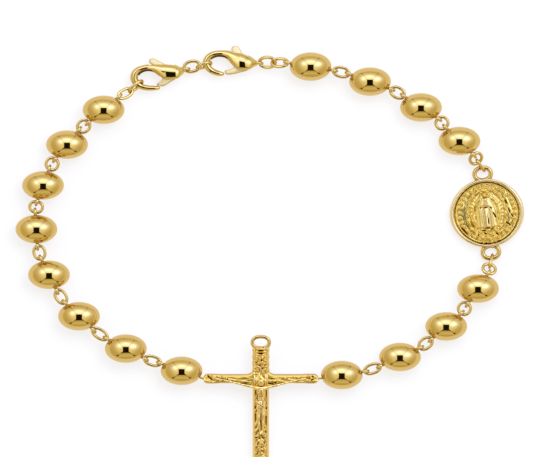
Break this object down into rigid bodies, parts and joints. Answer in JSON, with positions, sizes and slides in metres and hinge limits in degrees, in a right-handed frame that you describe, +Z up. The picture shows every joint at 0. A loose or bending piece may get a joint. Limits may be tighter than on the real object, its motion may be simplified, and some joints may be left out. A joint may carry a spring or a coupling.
{
  "type": "rosary bracelet",
  "caption": "Rosary bracelet of polished gold-coloured oval beads on wire links, with an oval medal, a crucifix in the row and lobster clasps, laid in an open loop.",
  "frame": {"origin": "middle of the loop, on the surface that the bracelet lies on", "axes": "+X along the longer way of the loop towards the medal, +Y towards the clasps, +Z up"},
  "size_m": [0.0848, 0.0742, 0.0048],
  "materials": {
    "polished_gold": "mirror-polished gold-coloured metal",
    "cast_gold": "cast gold-coloured metal, polished on its high places"
  },
  "bodies": {
    "bracelet": {"bead_01": "polished_gold", "bead_02": "polished_gold", "bead_03": "polished_gold", "bead_04": "polished_gold", "bead_05": "polished_gold", "bead_06": "polished_gold", "bead_07": "polished_gold", "bead_08": "polished_gold", "bead_09": "polished_gold", "bead_10": "polished_gold", "bead_11": "polished_gold", "bead_12": "polished_gold", "bead_13": "polished_gold", "bead_14": "polished_gold", "bead_15": "polished_gold", "bead_16": "polished_gold", "eye_pin_01": "polished_gold", "eye_pin_02": "polished_gold", "eye_pin_03": "polished_gold", "eye_pin_04": "polished_gold", "eye_pin_05": "polished_gold", "eye_pin_06": "polished_gold", "eye_pin_07": "polished_gold", "eye_pin_08": "polished_gold", "eye_pin_09": "polished_gold", "eye_pin_10": "polished_gold", "eye_pin_11": "polished_gold", "eye_pin_12": "polished_gold", "eye_pin_13": "polished_gold", "eye_pin_14": "polished_gold", "eye_pin_15": "polished_gold", "eye_pin_16": "polished_gold", "links_left": "polished_gold", "links_lower_right": "polished_gold", "links_upper_right": "polished_gold", "clasp_a_end_link": "polished_gold", "clasp_a_hook_link": "polished_gold", "clasp_a_body": "polished_gold", "clasp_a_pivot": "polished_gold", "clasp_a_jump_ring": "polished_gold", "clasp_b_hook_link": "polished_gold", "clasp_b_body": "polished_gold", "clasp_b_pivot": "polished_gold", "clasp_b_jump_ring": "polished_gold", "clasp_b_end_link": "polished_gold", "medal": "cast_gold", "medal_top_link": "polished_gold", "medal_top_upright": "polished_gold", "medal_bottom_link": "polished_gold", "medal_bottom_upright": "polished_gold", "crucifix": "cast_gold"},
    "lever_a": {"clasp_a_lever": "polished_gold"},
    "lever_b": {"clasp_b_lever": "polished_gold"}
  },
  "joints": [
    {"name": "lever_a_hinge", "type": "hinge", "parent": "bracelet", "child": "lever_a", "pos_m": [-0.01616, 0.02477, 0.0015], "axis": [0, 0, -1], "range_deg": [0, 25], "stiffness_Nm_per_rad": 0.003, "springref_deg": -28.65},
    {"name": "lever_b_hinge", "type": "hinge", "parent": "bracelet", "child": "lever_b", "pos_m": [-0.00398, 0.02654, 0.0015], "axis": [0, 0, -1], "range_deg": [0, 25], "stiffness_Nm_per_rad": 0.003, "springref_deg": -28.65}
  ]
}
